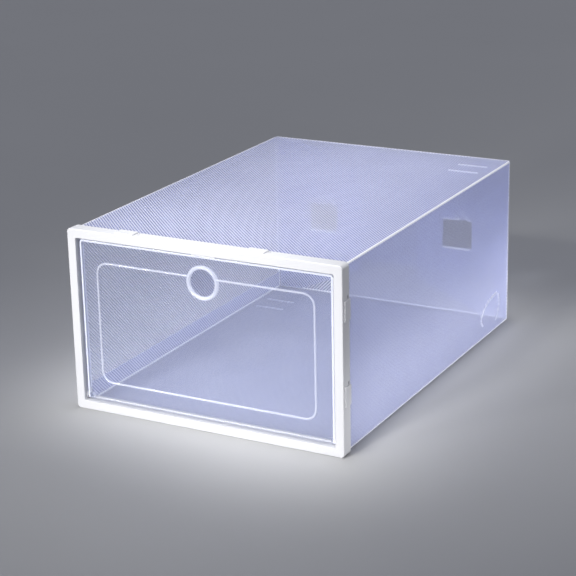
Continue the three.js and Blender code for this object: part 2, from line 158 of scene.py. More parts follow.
def band(points, width):
    """A cut of constant width along a line of points."""
    left, right = [], []
    for index, point in enumerate(points):
        before = points[max(index - 1, 0)]
        after = points[min(index + 1, len(points) - 1)]
        side = (after - before).orthogonal().normalized() * (width / 2)
        left.append(point + side)
        right.append(point - side)
    return left + right[::-1]


def bezier(controls, steps):
    """Points on a Bezier curve of any degree."""
    points = []
    for step in range(steps + 1):
        level = [Vector(control) for control in controls]
        while len(level) > 1:
            level = [a.lerp(b, step / steps) for a, b in zip(level, level[1:])]
        points.append(level[0])
    return points


def inset(outline, by):
    """A counter-clockwise outline moved inwards by an even distance."""
    moved = []
    for before, point, after in zip(outline[-1:] + outline[:-1], outline, outline[1:] + outline[:1]):
        a = (point - before).orthogonal().normalized()
        b = (after - point).orthogonal().normalized()
        moved.append(point + (a + b) * (by / (1 + a.dot(b))))
    return moved


def is_counter_clockwise(outline):
    return sum(a.cross(b) for a, b in zip(outline, outline[1:] + outline[:1])) > 0


# ---- folding -----------------------------------------------------------------------------------


class Bend:
    """A line in a plane that runs straight and turns at rounded outer corners. The outside is on the
    left of the line, and each corner turns away from it by a right angle."""

    def __init__(self, corners):
        points = [Vector(corner) for corner in corners]
        self.spans = []
        self.length = 0.0
        for index in range(len(points) - 1):
            along = (points[index + 1] - points[index]).normalized()
            outward = Vector((-along.y, along.x))
            start = points[index] + along * (FOLD_RADIUS if index else 0)
            last = index == len(points) - 2
            reach = (points[index + 1] - start).length - (0 if last else FOLD_RADIUS)
            self.add(start, along, outward, reach, True)
            if not last:
                self.add(start + along * reach, along, outward, QUARTER, False)

    def add(self, start, along, outward, reach, straight):
        self.spans.append((self.length, self.length + reach, start, along, outward, straight))
        self.length += reach

    def place(self, s):
        """The point at length s, and the outward direction there."""
        for first, last, start, along, outward, straight in self.spans:
            if s <= last or last == self.length:
                break
        if straight:
            return start + along * (s - first), outward
        turn = (s - first) / FOLD_RADIUS
        normal = outward * math.cos(turn) + along * math.sin(turn)
        return start - outward * FOLD_RADIUS + normal * FOLD_RADIUS, normal

    def flats(self):
        return [span[:2] for span in self.spans if span[5]]

    def creases(self):
        return [span[:2] for span in self.spans if not span[5]]


def crease_lines(creases):
    """Where the mesh is cut so that a crease bends smoothly and its whitening ends cleanly."""
    lines = []
    for first, last in creases:
        steps = [first + (last - first) * step / FOLD_STEPS for step in range(FOLD_STEPS + 1)]
        lines += [first - CREASE_MARGIN, *steps, last + CREASE_MARGIN]
    return lines


def whitening(s, creases):
    """1 in a crease, falling to 0 at its margin."""
    best = 0.0
    for first, last in creases:
        beyond = max(first - s, s - last, 0.0)
        best = max(best, 1 - beyond / CREASE_MARGIN)
    return best


def rib_height(u, v):
    """The ribs' height below their crests, straight between the mesh's cuts."""
    levels = [0.5 - 0.5 * math.cos(2 * math.pi * step / RIB_STEPS) for step in range(RIB_STEPS)]
    place = (u + v) / RIB_PITCH * RIB_STEPS
    step = math.floor(place)
    low, high = levels[step % RIB_STEPS], levels[(step + 1) % RIB_STEPS]
    return RIB_HEIGHT * (low + (high - low) * (place - step))


# ---- from a flat outline to a folded solid sheet -------------------------------------------------


def triangles(outline, holes, segments):
    """The triangles of an outline with holes, cut along the segments."""
    points, faces, edges = [], [], []
    for loop in [outline, *holes]:
        numbers = list(range(len(points), len(points) + len(loop)))
        faces.append(numbers if is_counter_clockwise(loop) else numbers[::-1])
        points += loop
    for a, b in segments:
        edges.append((len(points), len(points) + 1))
        points += [Vector(a), Vector(b)]
    found = delaunay_2d_cdt(points, edges, faces, 1, MERGE_DISTANCE, True)
    kept = [face for face, source in zip(found[2], found[5]) if source == [0]]
    return found[0], kept


def grid_segments(outline):
    """Rib lines and cross cuts over the whole outline's box."""
    low = Vector((min(p.x for p in outline), min(p.y for p in outline)))
    high = Vector((max(p.x for p in outline), max(p.y for p in outline)))
    segments = []
    step = RIB_PITCH / RIB_STEPS
    for index in range(math.ceil((low.x + low.y) / step), math.floor((high.x + high.y) / step) + 1):
        total = index * step
        u0, u1 = max(low.x, total - high.y), min(high.x, total - low.y)
        if u1 - u0 > SHORTEST_CUT:
            segments.append(((u0, total - u0), (u1, total - u1)))
    for index in range(math.ceil(low.x / CROSS_PITCH), math.floor(high.x / CROSS_PITCH) + 1):
        segments.append(((index * CROSS_PITCH, low.y), (index * CROSS_PITCH, high.y)))
    for index in range(math.ceil(low.y / CROSS_PITCH), math.floor(high.y / CROSS_PITCH) + 1):
        segments.append(((low.x, index * CROSS_PITCH), (high.x, index * CROSS_PITCH)))
    return segments


def folded_sheet(name, outline, holes, segments, place, materials):
    """A closed sheet of even thickness. place(u, v) gives a point on its outside in millimetres,
    the outward direction and how white the crease is there."""
    flat, faces = triangles(outline, holes, grid_segments(outline) + segments)
    used = sorted({index for face in faces for index in face})
    number = {old: new for new, old in enumerate(used)}
    count = len(used)
    outside, inside, unfolded, white = [], [], [], []
    for index in used:
        u, v = flat[index]
        point, normal, crease = place(u, v)
        outside.append((point - normal * rib_height(u, v) * (1 - crease)) * MM)
        inside.append((point - normal * SHEET) * MM)
        unfolded.append((u, v, 0.0))
        white.append(crease)
    front = [[number[index] for index in face] for face in faces]
    back = [[index + count for index in reversed(face)] for face in front]
    sides = rim_faces(front, count)
    mesh = bpy.data.meshes.new(name)
    mesh.from_pydata(outside + inside, [], front + back + sides)
    for key, kind, values in (("unfolded", "FLOAT_VECTOR", unfolded), ("crease", "FLOAT", white)):
        attribute = mesh.attributes.new(key, kind, "POINT")
        for index, value in enumerate(values * 2):
            if kind == "FLOAT":
                attribute.data[index].value = value
            else:
                attribute.data[index].vector = value
    for index, polygon in enumerate(mesh.polygons):
        rim = index >= 2 * len(front)
        polygon.use_smooth = not rim
        polygon.material_index = 1 if rim else 0
    sharpen_rim(mesh)
    mesh.materials.append(materials[0])
    mesh.materials.append(materials[1])
    return shown(name, mesh)


def rim_faces(front, count):
    """Faces that close the cut edges of a sheet whose inside is numbered count higher."""
    directed = {(face[i - 1], face[i]) for face in front for i in range(len(face))}
    return [[b, a, a + count, b + count] for a, b in sorted(directed) if (b, a) not in directed]


def sharpen_rim(mesh):
    rim = {key for polygon in mesh.polygons if polygon.material_index == 1
           for key in polygon.edge_keys}
    for edge in mesh.edges:
        edge.use_edge_sharp = edge.key in rim


def shown(name, mesh):
    piece = bpy.data.objects.new(name, mesh)
    bpy.context.scene.collection.objects.link(piece)
    return piece


# ---- the box body ------------------------------------------------------------------------------

GIRTH = Bend([
    (-BODY_X, LEFT_LOW[2]), (-BODY_X, TOP_Z), (BODY_X, TOP_Z),
    (BODY_X, BOTTOM_Z), (SEAM_LOW[0], BOTTOM_Z), (SEAM_LOW[0], SEAM_HIGH[2])])
LEFT, TOP, RIGHT, BOTTOM = GIRTH.flats()[:4]  # the last is the seam flap


def fold_start(rear_y):
    """Where a panel ends and the crease of its rear flap starts, along the flat sheet."""
    return rear_y - FOLD_RADIUS - FRONT_Y


def flap_v(rear_y, reach):
    """Place on the flat sheet of a point of a rear flap, reach beyond its panel's outer face."""
    return fold_start(rear_y) + QUARTER + reach - FOLD_RADIUS


def top_u(x):
    return TOP[0] + x + BODY_X - FOLD_RADIUS


def right_u(z):
    return RIGHT[0] + TOP_Z - FOLD_RADIUS - z


def bottom_u(x):
    return BOTTOM[0] + BODY_X - FOLD_RADIUS - x


def left_u(z):
    return z - LEFT_LOW[2]


def upper_v(z):
    return flap_v(UPPER_HIGH[1], TOP_Z - z)


def lower_v(z):
    return flap_v(LOWER_HIGH[1], z - BOTTOM_Z)


def dust_v(x):
    return flap_v(DUST_HIGH[1], BODY_X - abs(x))


def dust_outline(first, last):
    """A tapered flap on the wall between two places across the sheet, from the last to the first."""
    shoulder = dust_v(BODY_X - DUST_FLAP_SHOULDER)
    end = dust_v(DUST_LOW[0])
    return [(last, shoulder), (last - DUST_FLAP_TAPER, end, DUST_FLAP_CORNER),
            (first + DUST_FLAP_TAPER, end, DUST_FLAP_CORNER), (first, shoulder)]


def body_outline():
    notch = fold_start(DUST_HIGH[1]) - NOTCH
    seam_end = SEAM_HIGH[1] - FRONT_Y
    ear = upper_v(UPPER_LOW[2])
    edge = upper_v(UPPER_LOW[2] + UPPER_FLAP_EAR)
    lower_end = lower_v(LOWER_HIGH[2])
    bottom, right, top, left = [(a + NOTCH, b - NOTCH) for a, b in (BOTTOM, RIGHT, TOP, LEFT)]
    corners = [(0, 0), (GIRTH.length, 0), (GIRTH.length, seam_end), (bottom[1], seam_end)]
    corners += [(bottom[1], lower_end, LOWER_FLAP_CORNER), (bottom[0], lower_end, LOWER_FLAP_CORNER)]
    corners += [(bottom[0], notch), (right[1], notch), *dust_outline(*right), (right[0], notch)]
    corners += [(top[1], notch), (top[1], ear), (top_u(UPPER_FLAP_EAR_X), edge, UPPER_FLAP_BEND)]
    corners += [(top_u(-UPPER_FLAP_EAR_X), edge, UPPER_FLAP_BEND), (top[0], ear), (top[0], notch)]
    corners += [(left[1], notch), *dust_outline(0, left[1])]
    return rounded(corners)


def slot_pair(u, v, length):
    return [rectangle((u, v + side * SLOT_PITCH / 2), length, SLOT_WIDTH) for side in (-1, 1)]


def window_holes():
    places = []
    for x in (-WINDOW_X, WINDOW_X):
        places.append((top_u(x), upper_v(WINDOW_Z), WINDOW_WIDTH, WINDOW_HEIGHT))
        places.append((bottom_u(x), lower_v(WINDOW_Z), WINDOW_WIDTH, WINDOW_HEIGHT))
    places.append((right_u(WINDOW_Z), dust_v(WINDOW_X), WINDOW_HEIGHT, WINDOW_WIDTH))
    places.append((left_u(WINDOW_Z), dust_v(WINDOW_X), WINDOW_HEIGHT, WINDOW_WIDTH))
    return [rectangle((u, v), w, h, WINDOW_CORNER) for u, v, w, h in places]


def leaf_cuts():
    """The two curved cuts of the leaf-shaped tab in the right wall."""
    def on_wall(y, z):
        return right_u(z), y + FACE_Y - FRONT_Y

    return [band(bezier([on_wall(*point) for point in controls], steps), LEAF_CUT)
            for controls, steps in ((LEAF_RISING, 2 * CURVE_STEPS), (LEAF_FALLING, CURVE_STEPS))]


def slots():
    from_front = FACE_Y - FRONT_Y
    outlines = slot_pair(top_u(TOP_SLOTS[0]), TOP_SLOTS[1] + from_front, SLOT_LENGTH)
    outlines += slot_pair(bottom_u(BOTTOM_SLOTS[0]), BOTTOM_SLOTS[1] + from_front, SLOT_LENGTH)
    outlines += slot_pair(top_u(REAR_SLOTS[0]), upper_v(REAR_SLOTS[1]), REAR_SLOT_LENGTH)
    return outlines


REAR_FLAPS = [  # the flat span that carries the flap, and the flap's outer face
    (LEFT, DUST_HIGH[1]), (TOP, UPPER_HIGH[1]), (RIGHT, DUST_HIGH[1]), (BOTTOM, LOWER_HIGH[1])]


def white_cuts():
    """The slots and the leaf's cuts, round which the sheet is stressed white, with their limits."""
    cuts = []
    for outline in slots() + leaf_cuts():
        low = (min(p.x for p in outline) - CUT_MARGIN, min(p.y for p in outline) - CUT_MARGIN)
        high = (max(p.x for p in outline) + CUT_MARGIN, max(p.y for p in outline) + CUT_MARGIN)
        cuts.append((outline, low, high))
    return cuts


WHITE_CUTS = white_cuts()


def distance(point, a, b):
    """From a point to the stretch between a and b."""
    nearest, factor = intersect_point_line(point, a, b)
    if factor < 0:
        nearest = a
    elif factor > 1:
        nearest = b
    return (point - nearest).length


def cut_whitening(u, v):
    """1 at the edge of a slot or of the leaf's cuts, falling to 0 at the cut's margin."""
    best = 0.0
    point = Vector((u, v))
    for outline, low, high in WHITE_CUTS:
        if low[0] < u < high[0] and low[1] < v < high[1]:
            near = min(distance(point, a, b) for a, b in zip(outline, outline[1:] + outline[:1]))
            best = max(best, 1 - near / CUT_MARGIN)
    return best


def body_segments():
    notch = fold_start(DUST_HIGH[1])
    segments = [((u, 0), (u, notch)) for u in crease_lines(GIRTH.creases())]
    for outline, *_ in WHITE_CUTS:
        margin = inset(outline, -CUT_MARGIN if is_counter_clockwise(outline) else CUT_MARGIN)
        segments += list(zip(margin, margin[1:] + margin[:1]))
    for (first, last), rear_y in REAR_FLAPS:
        start = fold_start(rear_y)
        for v in crease_lines([(start, start + QUARTER)]):
            segments.append(((first, v), (last, v)))
    return segments


def place_body(u, v):
    """Folds a point of the flat sheet round the box and down over its rear."""
    across, outward = GIRTH.place(u)
    point = Vector((across.x, FRONT_Y + v, across.y))
    normal = Vector((outward.x, 0, outward.y))
    crease = whitening(u, GIRTH.creases())
    for (first, last), rear_y in REAR_FLAPS:
        start = fold_start(rear_y)
        if not (first <= u <= last and v > start - CREASE_MARGIN):
            continue
        crease = max(crease, whitening(v, [(start, start + QUARTER)]))
        if v > start:
            down = -normal
            root = Vector((point.x, rear_y - FOLD_RADIUS, point.z)) + down * FOLD_RADIUS
            turn = min((v - start) / FOLD_RADIUS, math.pi / 2)
            rearward = Vector((0, 1, 0))
            bent = normal * math.cos(turn) + rearward * math.sin(turn)
            point = root + bent * FOLD_RADIUS + down * max(v - start - QUARTER, 0)
            normal = bent
    return point, normal, max(crease, cut_whitening(u, v))


def make_body(materials):
    holes = slots() + window_holes() + leaf_cuts()
    piece = folded_sheet(
        "folded_sheet", body_outline(), holes, body_segments(), place_body, materials)
    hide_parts("top_panel", "bottom_panel", "left_panel", "right_panel", "seam_flap",
                "rear_upper_flap", "rear_lower_flap", "dust_flap_left", "dust_flap_right")
    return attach(piece, "box")


def make_lock_tab(node, materials):
    """A half-round tab that bends through its window and lies flat on the dust flap inside."""
    low, high = millimetres(node)
    up = 1 if high[2] > WINDOW_Z + WINDOW_HEIGHT / 2 else -1
    x = (low[0] + high[0]) / 2
    half = (high[0] - low[0]) / 2
    edge = WINDOW_Z + up * (WINDOW_HEIGHT / 2 - TAB_GAP)
    tip = high[2] if up > 0 else low[2]
    run = abs(tip - edge)
    path = Bend([(UPPER_HIGH[1], FOLD_RADIUS), (UPPER_HIGH[1], 0),
                 (low[1], 0), (low[1], run + FOLD_RADIUS)])
    root = path.creases()[-1][1]

    def place(u, v):
        flat, outward = path.place(v)
        point = Vector((x + u * up, flat.x, edge + up * (flat.y - FOLD_RADIUS)))
        return point, Vector((0, outward.x, up * outward.y)), whitening(v, path.creases())

    rounding = [(half * math.cos(turn), root + run * math.sin(turn))
                for turn in [math.pi * step / (4 * CURVE_STEPS) for step in range(4 * CURVE_STEPS + 1)]]
    outline = [Vector(point) for point in [(-half, 0), (half, 0), *rounding]]
    segments = [((-half, v), (half, v)) for v in crease_lines(path.creases())]
    piece = folded_sheet(node + "_fold", outline, [], segments, place, materials)
    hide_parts(node)
    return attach(piece, "box")


# ---- the mouldings -------------------------------------------------------------------------------

SOFT_STEPS = 3
SHARP_ANGLE = math.radians(40)
PLANE_TOLERANCE = 0.01

PAD_PROUD = 0.9
FRAME_BAR = 7.0
FACE_THICK = 2.2
FACE_SOFT = 0.7  # rounding of the face's outer edge
EDGE_SOFT = 0.3
BLOCK_CORNER = 0.45
SKIRT_SOFT = 0.25
INNER_SKIRT = 1.8
FRAME_CORNER = 3.0
OPENING_CORNER = 1.0
SOCKET_GAP = 0.3  # between the sheet and the skirt that holds it
SUNK = 0.5  # how far a moulded detail reaches into the wall that carries it

RIB_SIDE_Z = (28.0, 63.0, 98.0, 124.0)
RIB_RAIL_X = (-84.0, -42.0, 0.0, 42.0, 84.0)
RIB_THICK = 1.0
RIB_SHORT = 1.5
RIB_SOFT = 0.1
PAD_LENGTH = 15.6
PAD_FRONT = 2.4
PAD_TOP_X = (-66.0, 44.0)
PAD_SIDE_Z = (110.3, 46.0)
POCKET_LENGTH = 2.6
POCKET_WIDTH = 1.6
POCKET_MARGIN = 1.6
POCKET_OFFSET = 0.4
CATCH_X = 2.5
CATCH_LENGTH = 20.0
CATCH_FRONT = 0.9
CATCH_REAR = 2.5
CATCH_DROP = 0.9
STOP_X = 46.0
STOP_LENGTH = 12.0
STOP_FRONT = 7.0
STOP_THICK = 1.4
STOP_BOTTOM = 134.8
THRESHOLD_DEPTH = 2.6
THRESHOLD_RISE = 0.8

HINGE_Y = 5.5
HINGE_Z = 10.2
BOSS_X = 107.0
BOSS_RADIUS = 2.7
PIN_RADIUS = 1.5
PIN_CLEARANCE = 0.12
PIN_LENGTH = 3.1
KNUCKLE_RADIUS = 2.4
KNUCKLE_LENGTH = 4.0

DOOR_X = 106.2
DOOR_FRONT = 3.0
DOOR_THICK = 1.5
DOOR_BOTTOM = 9.0
DOOR_TOP = 136.0
DOOR_CORNER = 2.5
DOOR_FOOT_CORNER = 0.8
LIP_WIDTH = 1.4
LIP_DEPTH = 2.1
LIP_START = 16.0
BEAD = (-91.5, 24.0, 91.5, 119.5)
BEAD_CORNER = 9.0
BEAD_WIDTH = 1.9
BEAD_HEIGHT = 0.7
BEAD_STEPS = 6
HOLE_Z = 115.5
HOLE_RADIUS = 10.2
RIM_RADIUS = 13.7
RIM_PROUD = 1.2
RIM_STEPS = 16
ROUND_STEPS = 24

FRAME_LOW, FRAME_HIGH = millimetres("front_frame")
FRAME_DEPTH = FRAME_HIGH[1] - FRAME_LOW[1]
OUTER = (PAD_PROUD - FRAME_HIGH[0], FRAME_LOW[2],
         FRAME_HIGH[0] - PAD_PROUD, FRAME_HIGH[2] - PAD_PROUD)


def grown(limits, by):
    x0, z0, x1, z1 = limits
    return x0 - by, z0 - by, x1 + by, z1 + by


OPENING = grown(OUTER, -FRAME_BAR)
SOCKET = grown((-BODY_X, BOTTOM_Z, BODY_X, TOP_Z), SOCKET_GAP)


def box_outline(limits, corners=(0, 0, 0, 0)):
    """An outline in X and Z, counter-clockwise from its lower left corner."""
    x0, z0, x1, z1 = limits
    places = ((x0, z0), (x1, z0), (x1, z1), (x0, z1))
    return rounded([(*place, corner) for place, corner in zip(places, corners)])


def quarter(radius):
    """Steps round a quarter circle: how far along it, and how far is left across it."""
    turns = [math.pi / 2 * step / SOFT_STEPS for step in range(SOFT_STEPS + 1)]
    return [(radius * (1 - math.cos(turn)), radius * (1 - math.sin(turn))) for turn in turns]


def loft(loops, closed=False):
    """Points and faces of a skin over loops of equally many points, capped unless it is closed."""
    count = len(loops[0])
    faces = []
    for row in range(len(loops) - (0 if closed else 1)):
        a = row * count
        b = (row + 1) % len(loops) * count
        faces += [(a + i, a + (i + 1) % count, b + (i + 1) % count, b + i) for i in range(count)]
    if not closed:
        faces.append(range(count))
        faces.append(range((len(loops) - 1) * count, len(loops) * count))
    return [point for loop in loops for point in loop], faces


def prism(outline, y0, y1, soft=EDGE_SOFT):
    """An outline in X and Z, from y0 to y1 behind the frame's face, with softened edges."""
    levels = [(across, y0 + along) for along, across in quarter(soft)]
    levels += [(across, y1 - along) for along, across in reversed(quarter(soft))]
    loops = []
    for by, y in levels:
        loops.append([(point.x, FACE_Y + y, point.y) for point in inset(outline, by)])
    return loft(loops)


def block(limits, y0, y1, soft=EDGE_SOFT, corner=BLOCK_CORNER):
    return prism(box_outline(limits, (corner,) * 4), y0, y1, soft)


def turned(profile):
    """A closed bar round the hinge axis, through pairs of x and radius."""
    loops = []
    for x, radius in profile:
        turns = [2 * math.pi * step / ROUND_STEPS for step in range(ROUND_STEPS)]
        loops.append([(x, FACE_Y + HINGE_Y + radius * math.cos(turn), HINGE_Z + radius * math.sin(turn))
                      for turn in turns])
    return loft(loops)


def on_both_sides(profile):
    return [turned(profile), turned([(-x, radius) for x, radius in profile])]


def solid(name, parts):
    """An object of one or more closed lofts."""
    work = bmesh.new()
    for points, faces in parts:
        corners = [work.verts.new(Vector(point) * MM) for point in points]
        for face in faces:
            work.faces.new([corners[index] for index in face])
    bmesh.ops.recalc_face_normals(work, faces=work.faces)
    mesh = bpy.data.meshes.new(name)
    work.to_mesh(mesh)
    work.free()
    return shown(name, mesh)


def combined(base, parts, operation):
    """Joins parts to an object, or cuts them from it."""
    tool = solid("tool", parts)
    modifier = base.modifiers.new(operation, "BOOLEAN")
    modifier.operation = operation
    modifier.solver = "EXACT"
    modifier.object = tool
    evaluated = base.evaluated_get(bpy.context.evaluated_depsgraph_get())
    mesh = bpy.data.meshes.new_from_object(evaluated)
    base.modifiers.clear()
    base.data = mesh
    bpy.data.objects.remove(tool)


def channel():
    """The frame's U-shaped ring, lofted round its section: the face's outer and inner edge, the
    inner skirt, the channel's floor and the outer skirt."""
    skirt = grown(OPENING, INNER_SKIRT)
    levels = []
    for along, across in quarter(FACE_SOFT):
        levels.append((grown(OUTER, -along), FRAME_CORNER - along, across))
    for along, across in quarter(EDGE_SOFT):
        levels.append((grown(OPENING, across), OPENING_CORNER + across, along))
    for along, across in quarter(SKIRT_SOFT):
        levels.append((grown(OPENING, along), OPENING_CORNER + along, FRAME_DEPTH - across))
    for along, across in quarter(SKIRT_SOFT):
        levels.append((grown(skirt, -across), OPENING_CORNER, FRAME_DEPTH - along))
    levels.append((skirt, OPENING_CORNER, FACE_THICK))
    levels.append((SOCKET, SOCKET_GAP, FACE_THICK))
    for along, across in quarter(SKIRT_SOFT):
        levels.append((grown(SOCKET, along), SOCKET_GAP + along, FRAME_DEPTH - across))
    for along, across in quarter(SKIRT_SOFT):
        levels.append((grown(OUTER, -across), FRAME_CORNER - across, FRAME_DEPTH - along))
    loops = []
    for limits, corner, y in levels:
        outline = box_outline(limits, (corner,) * 4)
        loops.append([(point.x, FACE_Y + y, point.y) for point in outline])
    return loft(loops, closed=True)


def channel_ribs():
    """Ribs that keep the sheet against the outer skirt."""
    front = FACE_THICK / 2
    rear = FRAME_DEPTH - RIB_SHORT
    skirt_x = OPENING[2] + INNER_SKIRT / 2
    sheet_x = BODY_X - 2 * SHEET_PITCH - SOCKET_GAP
    above = (OPENING[3] + INNER_SKIRT / 2, TOP_Z - SHEET_PITCH)
    below = (BOTTOM_Z + SHEET_PITCH, OPENING[1] - INNER_SKIRT / 2)
    limits = []
    for z in RIB_SIDE_Z:
        limits.append((skirt_x, z, sheet_x, z + RIB_THICK))
        limits.append((-sheet_x, z, -skirt_x, z + RIB_THICK))
    for x in RIB_RAIL_X:
        limits.append((x, above[0], x + RIB_THICK, above[1]))
        limits.append((x, below[0], x + RIB_THICK, below[1]))
    return [block(each, front, rear, RIB_SOFT, 2 * RIB_SOFT) for each in limits]


def snap_pads():
    half = PAD_LENGTH / 2
    inside, outside = OUTER[2] - SUNK, OUTER[2] + PAD_PROUD
    limits = [(x - half, OUTER[3] - SUNK, x + half, OUTER[3] + PAD_PROUD) for x in PAD_TOP_X]
    limits += [(inside, z - half, outside, z + half) for z in PAD_SIDE_Z]
    limits += [(-outside, z - half, -inside, z + half) for z in PAD_SIDE_Z]
    return [block(each, PAD_FRONT, FRAME_DEPTH) for each in limits]


def pad_pockets():
    """Small pockets through the outer skirt, one beside each snap pad."""
    reach = PAD_LENGTH / 2 + POCKET_OFFSET
    rear = FRAME_DEPTH - POCKET_MARGIN
    inside, outside = BODY_X, OUTER[2] + 1
    limits = [(x + reach, TOP_Z, x + reach + POCKET_LENGTH, OUTER[3] + 1) for x in PAD_TOP_X]
    limits += [(inside, z + reach, outside, z + reach + POCKET_LENGTH) for z in PAD_SIDE_Z]
    limits += [(-outside, z + reach, -inside, z + reach + POCKET_LENGTH) for z in PAD_SIDE_Z]
    return [block(each, rear - POCKET_WIDTH, rear) for each in limits]


def door_keepers():
    """The catch ridge in front of the door's top, the two stops and the threshold behind it."""
    lintel = OPENING[3]
    ridge = (CATCH_X - CATCH_LENGTH / 2, lintel - CATCH_DROP, CATCH_X + CATCH_LENGTH / 2, lintel + SUNK)
    sill = (OPENING[0] - SUNK, OPENING[1] - SUNK, OPENING[2] + SUNK, OPENING[1] + THRESHOLD_RISE)
    parts = [block(ridge, CATCH_FRONT, CATCH_REAR)]
    parts.append(block(sill, FRAME_DEPTH - THRESHOLD_DEPTH, FRAME_DEPTH))
    for x in (-STOP_X, STOP_X):
        stop = (x - STOP_LENGTH / 2, STOP_BOTTOM, x + STOP_LENGTH / 2, lintel + SUNK)
        parts.append(block(stop, STOP_FRONT, STOP_FRONT + STOP_THICK))
    return parts


def make_frame(material):
    base = solid("frame_moulding", [channel()])
    bosses = [(BOSS_X + along, BOSS_RADIUS - across) for along, across in quarter(EDGE_SOFT)]
    bosses.append((OPENING[2] + INNER_SKIRT / 2, BOSS_RADIUS))
    socket = PIN_RADIUS + PIN_CLEARANCE
    sockets = [(BOSS_X - 1, socket), (OPENING[2] + INNER_SKIRT + 1, socket)]
    combined(base, channel_ribs() + snap_pads() + door_keepers() + on_both_sides(bosses), "UNION")
    combined(base, pad_pockets() + on_both_sides(sockets), "DIFFERENCE")
    moulding(base, "front_frame", "box", [material])


def bead():
    """The raised outline on the door: a half-round bead whose foot is buried in the pane."""
    section = []
    for step in range(BEAD_STEPS + 1):
        turn = math.pi * step / BEAD_STEPS
        section.append((BEAD_WIDTH / 2 * math.cos(turn), DOOR_FRONT - BEAD_HEIGHT * math.sin(turn)))
    middle = DOOR_FRONT + DOOR_THICK / 2
    section += [(-BEAD_WIDTH / 2, middle), (BEAD_WIDTH / 2, middle)]
    loops = []
    for by, y in section:
        outline = box_outline(grown(BEAD, by), (BEAD_CORNER + by,) * 4)
        loops.append([(point.x, FACE_Y + y, point.y) for point in outline])
    return loft(loops, closed=True)


def circle(radius):
    turns = [2 * math.pi * step / (2 * ROUND_STEPS) for step in range(2 * ROUND_STEPS)]
    return [Vector((radius * math.cos(turn), HOLE_Z + radius * math.sin(turn))) for turn in turns]


def finger_rim():
    middle = (HOLE_RADIUS + RIM_RADIUS) / 2
    half_width = (RIM_RADIUS - HOLE_RADIUS) / 2
    half_depth = DOOR_THICK / 2 + RIM_PROUD
    loops = []
    for step in range(RIM_STEPS):
        turn = 2 * math.pi * step / RIM_STEPS
        y = FACE_Y + DOOR_FRONT + DOOR_THICK / 2 + half_depth * math.sin(turn)
        loops.append([(point.x, y, point.y) for point in circle(middle + half_width * math.cos(turn))])
    return loft(loops, closed=True)


def door_lip():
    """The stiffening lip behind the pane, along its top and sides."""
    inner = DOOR_X - LIP_WIDTH
    under = DOOR_TOP - LIP_WIDTH
    outline = rounded([
        (inner, LIP_START), (DOOR_X, LIP_START), (DOOR_X, DOOR_TOP, DOOR_CORNER),
        (-DOOR_X, DOOR_TOP, DOOR_CORNER), (-DOOR_X, LIP_START), (-inner, LIP_START),
        (-inner, under), (inner, under)])
    return prism(outline, DOOR_FRONT + DOOR_THICK / 2, DOOR_FRONT + DOOR_THICK + LIP_DEPTH)


def hinge_pins():
    """A knuckle and a pin at each lower corner of the door, as one stepped bar."""
    inner, tip = DOOR_X - KNUCKLE_LENGTH, DOOR_X + PIN_LENGTH
    profile = [(inner + along, KNUCKLE_RADIUS - across) for along, across in quarter(EDGE_SOFT)]
    profile += [(DOOR_X, KNUCKLE_RADIUS), (DOOR_X, PIN_RADIUS)]
    profile += [(tip - along, PIN_RADIUS - across) for along, across in reversed(quarter(EDGE_SOFT))]
    return on_both_sides(profile)


def make_door(clear, raised):
    corners = (DOOR_FOOT_CORNER, DOOR_FOOT_CORNER, DOOR_CORNER, DOOR_CORNER)
    pane = box_outline((-DOOR_X, DOOR_BOTTOM, DOOR_X, DOOR_TOP), corners)
    rear = DOOR_FRONT + DOOR_THICK
    base = solid("door_moulding", [prism(pane, DOOR_FRONT, rear)])
    bore = circle((HOLE_RADIUS + RIM_RADIUS) / 2)
    combined(base, [bead()], "UNION")
    combined(base, [prism(bore, DOOR_FRONT - DOOR_THICK, rear + DOOR_THICK)], "DIFFERENCE")
    combined(base, [finger_rim(), door_lip(), *hinge_pins()], "UNION")
    moulding(base, "door_panel", "door", [clear, raised])
    for polygon in base.data.polygons:
        depth = polygon.center.y / MM - FACE_Y
        on_pane = min(abs(depth - DOOR_FRONT), abs(depth - rear)) < PLANE_TOLERANCE
        polygon.material_index = 0 if on_pane else 1


def moulding(piece, node, body, materials):
    """Shades a moulded piece evenly, and puts it in its CAD node's place."""
    mesh = piece.data
    for material in materials:
        mesh.materials.append(material)
    for polygon in mesh.polygons:
        polygon.use_smooth = True
    mesh.set_sharp_from_angle(angle=SHARP_ANGLE)
    shading = piece.modifiers.new("even_shading", "WEIGHTED_NORMAL")
    shading.keep_sharp = True
    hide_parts(node)
    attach(piece, body)


# ---- materials ----------------------------------------------------------------------------------

PLASTIC_IOR = 1.5
SHEET_IOR = 1.49
HEAD_ON_MIRROR = 0.04  # share of light that plastic reflects when it is seen square on

# The sheet. Haze is the share of light that one of its surfaces scatters.
# The ribs' colours are painted light: a near-white painted highlight along each crest, and the sheet's
# blue darkened into painted shade in each valley. The haze swing from valley to crest is partly the
# crests' thicker plastic and partly more painted highlight.
VALLEY_SHADE_COLOUR = (0.36, 0.42, 0.82)
CREST_HIGHLIGHT_COLOUR = (0.93, 0.92, 0.96)
CREASE_COLOUR = (1.0, 1.0, 1.0)
TINT = (0.90, 0.92, 0.98, 1)  # of light that goes straight through one surface
VALLEY_HAZE = 0.02
CREST_HAZE = 0.58
CREASE_HAZE = 0.9
CLOUD_HAZE = 0.08
CLOUD_SCALE = 22.0
STREAK_HAZE = 0.04
STREAK_SCALE = 160.0
STREAK_STRETCH = (1, 0.04, 1)
SCATTER_THROUGH = 0.35  # share of the scattered light that leaves on the far side
CREASE_SOLID = 0.3  # part of that share that a crease turns back
SHEET_ROUGH = 0.42
SHEET_ROUGH_SPREAD = 0.12
SHEET_GRAIN_SCALE = 300.0
SHEET_GLOSS = 0.3
SHEET_GLOSS_ROUGH = 0.28

